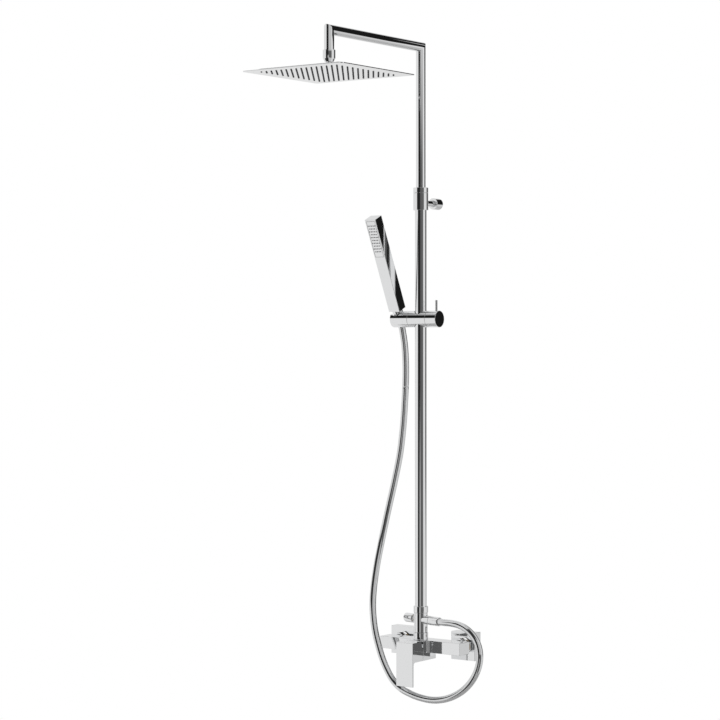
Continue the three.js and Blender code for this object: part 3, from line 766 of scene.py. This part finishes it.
class SHOWER_OT_riser(Operator):
    """Riser tube, telescopic arm with sharp mitred corners, clamping collar and wall post"""

    bl_idname = "shower.riser"
    bl_label = "Riser and arm"

    def execute(self, context):
        low, high, radius = reach("riser_tube", RISER)
        outline = [(10.7, low), (radius, low), (radius, high), (10.7, high)]
        riser = turned("riser_pipe", outline, RISER, bored=True)
        fit(riser, "column", "chrome", "riser_tube")

        foot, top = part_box("arm_tube")
        outer = foot.x * -1
        crown = top.z - outer
        end = foot.y + outer
        stem_end = reach("head_nut", HEAD)[1] - 7.8
        pipe = mitred_pipe("arm_pipe", [
            Vector((0, RISER_Y, foot.z)), Vector((0, RISER_Y, crown)),
            Vector((0, end, crown)), Vector((0, end, stem_end * MM)),
        ], outer, outer - 1.4 * MM)
        fit(pipe, "overhead_arm", "chrome", "arm_tube")

        low, high, radius = reach("collar_body", RISER)
        collar = turned("collar_sleeve", [
            (12.3, low), (radius, low), (radius, high), (10.3, high), (10.3, high - 3), (12.3, high - 3),
        ], RISER, bored=True)
        fit(collar, "column", "chrome", "collar_body")
        low, high, radius = reach("lock_ring", RISER)
        lock = turned("collar_lock_ring", [
            (12.7, low), (radius, low), (radius, high), (10.3, high), (10.3, high - 3.2), (12.7, high - 3.2),
        ], RISER, bored=True)
        fit(lock, "collar_lock", "chrome", "lock_ring")

        low, high, radius = reach("post_neck", POST)
        fit(turned("post_stem", [(radius, low), (radius, high)], POST), "column", "chrome", "post_neck")
        low, high, radius = reach("post_cup", POST)
        cup = turned("post_cover", [
            (6.3, low), (radius, low), (radius, high), (9.9, high), (9.9, low + 2.5), (6.3, low + 2.5),
        ], POST, bored=True)
        hole = Matrix.Translation((0, middle("post_grub_screw").y, middle("post_cup").z))
        carve(cup, turned("screw_hole", [(2.2, -15), (2.2, -5)], hole, sides=24))
        fit(cup, "column", "chrome", "post_cup", width=0.0005)
        return {"FINISHED"}


# ---- slider ----


def seat_tool():
    """The conical seat for the hose nut, as a cutting tool."""
    return turned("seat_tool", [(9.3, -40), (9.3, -17), (12.2, 21)], HANDSET)


def slot_tool():
    """The slot that lets the hose into the seat, as a cutting tool."""
    return box_tool("slot_tool", (-30, -7.8, -45), (0, 7.8, 45), HANDSET)


class SHOWER_OT_slider(Operator):
    """Sliding clamp on the riser, its knob with a pin, and the tilting handset holder"""

    bl_idname = "shower.slider"
    bl_label = "Slider"

    def execute(self, context):
        low, high, radius = reach("slider_body", SLIDER)
        body = turned("slider_barrel", [(radius, low), (radius, high)], SLIDER)
        carve(
            body,
            turned("riser_bore", [(13.3, SLIDER_Z / MM - 20), (13.3, SLIDER_Z / MM + 20)], RISER),
            turned("spindle_bore", [(4.3, 5), (4.3, 30)], SLIDER, sides=32),
            turned("pivot_bore", [(5.3, -30), (5.3, -14.9)], SLIDER, sides=32),
        )
        fit(body, "slider", "chrome", "slider_body", width=0.00025)

        low, high, radius = reach("clamp_knob", SLIDER)
        knob = turned("slider_knob", [(radius, low), (radius, high)], SLIDER)
        carve(knob, turned("spindle_hole", [(4.3, 10), (4.3, 34.3)], SLIDER, sides=32))
        fit(knob, "clamp", "chrome", "clamp_knob")
        low, high, radius = reach("knob_pin", PIN)
        pin = turned("slider_pin", [(radius, low), (radius, high)], PIN, sides=48)
        fit(pin, "clamp", "chrome", "knob_pin")

        low, high, radius = reach("holder", SLIDER)
        holder = turned("handset_cradle", [(radius, low), (radius, high)], SLIDER)
        pivot_hole = turned("pivot_hole", [(5.3, -37.8), (5.3, -10)], SLIDER, sides=32)
        carve(holder, seat_tool(), slot_tool(), pivot_hole)
        fit(holder, "handset_holder", "chrome", "holder", width=0.0003)

        bush = turned("cradle_bush", [
            (8.5, -14.2), (9.2, -14.2), (11.2, 12), (10.5, 12),
        ], HANDSET, bored=True)
        carve(bush, slot_tool())
        fit(bush, "handset_holder", "black_plastic", "holder_insert", width=0.0001)
        return {"FINISHED"}


# ---- nozzles ----


def nozzle_field(name, places, radius, axis, way):
    """Silicone nozzles at (x, y, z) places in metres: a flat ring at the root of a short cone."""
    mesh = bmesh.new()
    outline = [(1.0, -0.3), (1.0, 0.25), (0.8, 0.45), (0.62, 1.0), (0.5, 1.15), (0.22, 1.15), (0.2, 0.7)]
    sides = 12
    for place in places:
        rings = []
        for r, h in outline:
            rings.append([
                mesh.verts.new(
                    Vector(place) + way @ Vector((
                        r * radius * cos(2 * pi * k / sides), r * radius * sin(2 * pi * k / sides), h * MM))
                ) for k in range(sides)
            ])
        loft(mesh, rings)
    return new_object(name, mesh, axis)


# ---- handset ----


class SHOWER_OT_handset(Operator):
    """Square stick handset with its spray panel and its rows of nozzles"""

    bl_idname = "shower.handset"
    bl_label = "Handset"

    def execute(self, context):
        detail = sizes()
        fit(copy_of("handset_body", "handset_stick"), "handset", "chrome", "handset_body",
            width=detail.soft_edge)
        fit(copy_of("handset_face", "spray_panel"), "handset", "chrome", "handset_face", width=0.0003)
        top = reach("handset_body", HANDSET)[1] * MM
        back = HANDSET.inverted()
        front = min((back @ v.co).y for v in frame["nodes"]["handset_face"].data.vertices)
        first = top - 0.0136
        places = []
        for row in range(detail.hand_rows):
            count = 5 - row % 2
            for k in range(count):
                places.append(((k - (count - 1) / 2) * 0.004, front, first - row * detail.hand_pitch))
        outward = Matrix.Rotation(pi / 2, 4, "X")
        tips = nozzle_field("handset_nozzles", places, 0.0012, HANDSET, outward)
        fit(tips, "handset", "nozzle_silicone", width=0)
        return {"FINISHED"}


# ---- rain head ----


class SHOWER_OT_rain_head(Operator):
    """Thin square rain head with staggered nozzles, its water chamber, hub, swivel nut and ball"""

    bl_idname = "shower.rain_head"
    bl_label = "Rain head"

    def execute(self, context):
        detail = sizes()
        low, high, _ = reach("head_plate", HEAD)
        side = (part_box("head_plate")[1].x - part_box("head_plate")[0].x) / MM
        plate = rounded_plate("face_plate", side, 5, low, high, HEAD)
        fit(plate, "rain_head", "chrome", "head_plate", width=0.0005)
        fit(copy_of("chamber_cover", "chamber_lid"), "rain_head", "chrome", "chamber_cover", width=0.0008)

        places = []
        pitch = 2 * detail.nozzle_field / (detail.nozzle_columns - 1)
        for row in range(detail.nozzle_rows):
            count = detail.nozzle_columns - row % 2
            y = detail.nozzle_depth * (2 * row / (detail.nozzle_rows - 1) - 1)
            places += [((k - (count - 1) / 2) * pitch, y, low * MM) for k in range(count)]
        down = Matrix.Rotation(pi, 4, "X")
        fit(nozzle_field("rain_nozzles", places, detail.nozzle_radius, HEAD, down),
            "rain_head", "nozzle_silicone", width=0)

        low, high, radius = reach("head_hub", HEAD)
        hub = turned("hub_ring", [
            (6.3, low), (radius, low), (radius, high - 1.1), (radius - 1, high), (6.3, high),
        ], HEAD, bored=True)
        fit(hub, "rain_head", "chrome", "head_hub")

        low, high, radius = reach("head_nut", HEAD)
        ball = reach("ball_liner", HEAD)
        centre = (ball[0] + ball[1]) / 2
        socket = [(8.4 * cos(radians(a)), centre + 8.4 * sin(radians(a))) for a in range(-45, 1, 5)]
        nut = turned("swivel_nut", [
            *socket, (8.4, high - 8.1), (10.3, high - 8.1), (10.3, high),
            (radius, high), (radius, low + 7.8), (9.5, low + 2), (8.6, low),
        ], HEAD, bored=True)
        fit(nut, "overhead_arm", "chrome", "head_nut")

        low = reach("ball_stud", HEAD)[0]
        cap = [(7.2 * cos(radians(a)), centre + 7.2 * sin(radians(a))) for a in range(-60, 73, 6)]
        stud = turned("ball_neck", [
            (2.2, low), (5.9, low), (5.9, low + 6.7), (3.6, low + 7.7), *cap, (2.2, centre + 6.85),
        ], HEAD, bored=True)
        fit(stud, "head_ball", "chrome", "ball_stud", width=0)
        return {"FINISHED"}


# ---- parts left as they are ----

INNER_PARTS = {
    "brass": ["cartridge_nut", "lever_spindle", "diverter_valve", "clamp_spindle", "handset_inlet"],
    "steel": ["post_disc", "post_grub_screw", "lever_screw", "holder_pivot"],
    "black_plastic": [
        "cartridge_body", "spindle_carrier", "lever_insert", "collar_gland", "clamp_liner", "slip_bush",
        "ball_liner",
    ],
    "rubber": ["inlet_seal_left", "inlet_seal_right", "diverter_seal", "riser_seal", "ball_gasket"],
    "nozzle_silicone": ["nozzle_mat", "handset_nozzle_mat"],
}


class SHOWER_OT_inner_parts(Operator):
    """Finishes of the inner parts: brass, steel, plastic, seals and nozzle mats"""

    bl_idname = "shower.inner_parts"
    bl_label = "Inner parts"

    def execute(self, context):
        for slot, names in INNER_PARTS.items():
            for name in names:
                node = frame["nodes"][name]
                for index in range(len(node.material_slots)):
                    node.material_slots[index].material = finish(slot)
        return {"FINISHED"}


# ---- stage ----

# The studio as bearing from the camera's side, in degrees, against brightness. Minus is to the left.
STUDIO = [
    (-180, 0.77), (-64, 0.77), (-60, 0.016), (-14, 0.02), (-10, 0.10), (45, 0.13), (49, 0.74), (96, 0.74),
    (130, 0.45), (165, 0.50), (180, 0.77),
]
# Dark gaps between the lamps: bearing from, bearing to, height from, height to, in degrees.
GAPS = [(-97, -62, 11, 44), (98, 130, -5, 24), (108, 158, 22, 40)]
# Lit panels in the dark side, with the same four edges and then their brightness.
LIT_PANELS = [(-12, 45, 6, 50, 0.55), (-25, -5, -50, -3, 0.45)]
GAP_LEVEL = 0.01
BORDER = 1.5  # half of the soft border of a panel or a gap, in degrees


def opening(nodes, bearing, height, left, right, low, high):
    """One inside the given edges and zero outside them, with soft borders."""
    inside = 1.0
    for value, start, end in ((bearing, left, right), (height, low, high)):
        rise = nodes.spread(value, start - BORDER, start + BORDER)
        fall = nodes.spread(value, end - BORDER, end + BORDER, 1.0, 0.0)
        inside = nodes.math("MULTIPLY", inside, nodes.math("MULTIPLY", rise, fall))
    return inside


def studio_world(stage):
    """Soft studio round the object: pale panels with dark gaps, and a white backdrop behind the object."""
    world = bpy.data.worlds.new("studio")
    world.use_nodes = True
    world.node_tree.nodes.clear()
    nodes = Nodes(world.node_tree)
    way = nodes.add("ShaderNodeSeparateXYZ")
    nodes.link(nodes.add("ShaderNodeTexCoord").outputs["Generated"], way.inputs[0])
    east, north, up = way.outputs
    angle = nodes.math("ARCTAN2", east, nodes.math("MULTIPLY", north, -1))
    turned_angle = nodes.math("SUBTRACT", angle, stage.camera_turn)
    bearing = nodes.math("MULTIPLY", nodes.math("WRAP", turned_angle, pi, -pi), 180 / pi)
    height = nodes.math("MULTIPLY", nodes.math("ARCSINE", up), 180 / pi)

    ramp = nodes.add("ShaderNodeValToRGB")
    nodes.link(nodes.spread(bearing, -180, 180), ramp.inputs[0])
    stops = ramp.color_ramp.elements
    stops.remove(stops[1])
    for index, (degrees, level) in enumerate(STUDIO):
        place = (degrees + 180) / 360
        stop = stops[0] if index == 0 else stops.new(place)
        stop.position = place
        stop.color = (level, level, level, 1)
    panels = ramp.outputs[0]
    for *edges, level in [*LIT_PANELS, *((*gap, GAP_LEVEL) for gap in GAPS)]:
        mixed = nodes.add("ShaderNodeMix", data_type="RGBA")
        nodes.link(opening(nodes, bearing, height, *edges), mixed.inputs[0])
        nodes.link(panels, mixed.inputs[6])
        mixed.inputs[7].default_value = (level, level, level, 1)
        panels = mixed.outputs[2]

    studio = nodes.add("ShaderNodeBackground")
    nodes.link(panels, studio.inputs["Color"])
    studio.inputs["Strength"].default_value = stage.light
    backdrop = nodes.add("ShaderNodeBackground")
    backdrop.inputs["Color"].default_value = (1, 1, 1, 1)
    seen = nodes.add("ShaderNodeLightPath").outputs["Is Camera Ray"]
    mix = nodes.add("ShaderNodeMixShader")
    nodes.link(seen, mix.inputs[0])
    nodes.link(studio.outputs[0], mix.inputs[1])
    nodes.link(backdrop.outputs[0], mix.inputs[2])
    nodes.link(mix.outputs[0], nodes.add("ShaderNodeOutputWorld").inputs["Surface"])
    return world


class SHOWER_OT_stage(Operator):
    """Camera, pale floor and soft studio light"""

    bl_idname = "shower.stage"
    bl_label = "Stage"

    def execute(self, context):
        stage = context.scene.shower_stage
        camera = bpy.data.objects.new("camera", bpy.data.cameras.new("camera"))
        context.scene.collection.objects.link(camera)
        camera.location = stage.camera_place
        camera.rotation_euler = (pi / 2, 0, stage.camera_turn)
        camera.data.lens = stage.lens
        camera.data.shift_y = stage.shift
        context.scene.camera = camera

        half = stage.floor_half
        mesh = bmesh.new()
        bmesh.ops.create_grid(mesh, x_segments=8, y_segments=8, size=half)
        floor = new_object("floor", mesh, Matrix.Translation((0, RISER_Y, stage.floor_height)))
        floor.data.materials.append(pale_floor())

        context.scene.world = studio_world(stage)
        context.scene.view_settings.view_transform = "Standard"
        return {"FINISHED"}


# ---- panel, registration and run ----


class SHOWER_PT_panel(Panel):
    """Lists the pieces of the shower column"""

    bl_idname = "SHOWER_PT_panel"
    bl_label = "Shower column"
    bl_space_type = "VIEW_3D"
    bl_region_type = "UI"
    bl_category = "Shower"

    def draw(self, context):
        layout = self.layout
        for operator in STEPS:
            layout.operator(operator.bl_idname)
        for group in (context.scene.shower_sizes, context.scene.shower_finishes, context.scene.shower_stage):
            box = layout.box()
            for name in group.__annotations__:
                box.prop(group, name)


STEPS = [
    SHOWER_OT_stage,
    SHOWER_OT_hose,
    SHOWER_OT_wall_connections,
    SHOWER_OT_mixer,
    SHOWER_OT_diverter,
    SHOWER_OT_riser,
    SHOWER_OT_slider,
    SHOWER_OT_handset,
    SHOWER_OT_rain_head,
    SHOWER_OT_inner_parts,
]
GROUPS = {"shower_sizes": ShowerSizes, "shower_finishes": ShowerFinishes, "shower_stage": ShowerStage}


def register():
    for group in (*GROUPS.values(), *STEPS, SHOWER_PT_panel):
        bpy.utils.register_class(group)
    for name, group in GROUPS.items():
        setattr(bpy.types.Scene, name, PointerProperty(type=group))


def unregister():
    for name in GROUPS:
        delattr(bpy.types.Scene, name)
    for group in reversed((*GROUPS.values(), *STEPS, SHOWER_PT_panel)):
        bpy.utils.unregister_class(group)


def main():
    register()
    for step in STEPS:
        call = step.bl_idname.split(".")[1]
        getattr(bpy.ops.shower, call)()


if __name__ == "__main__":
    main()
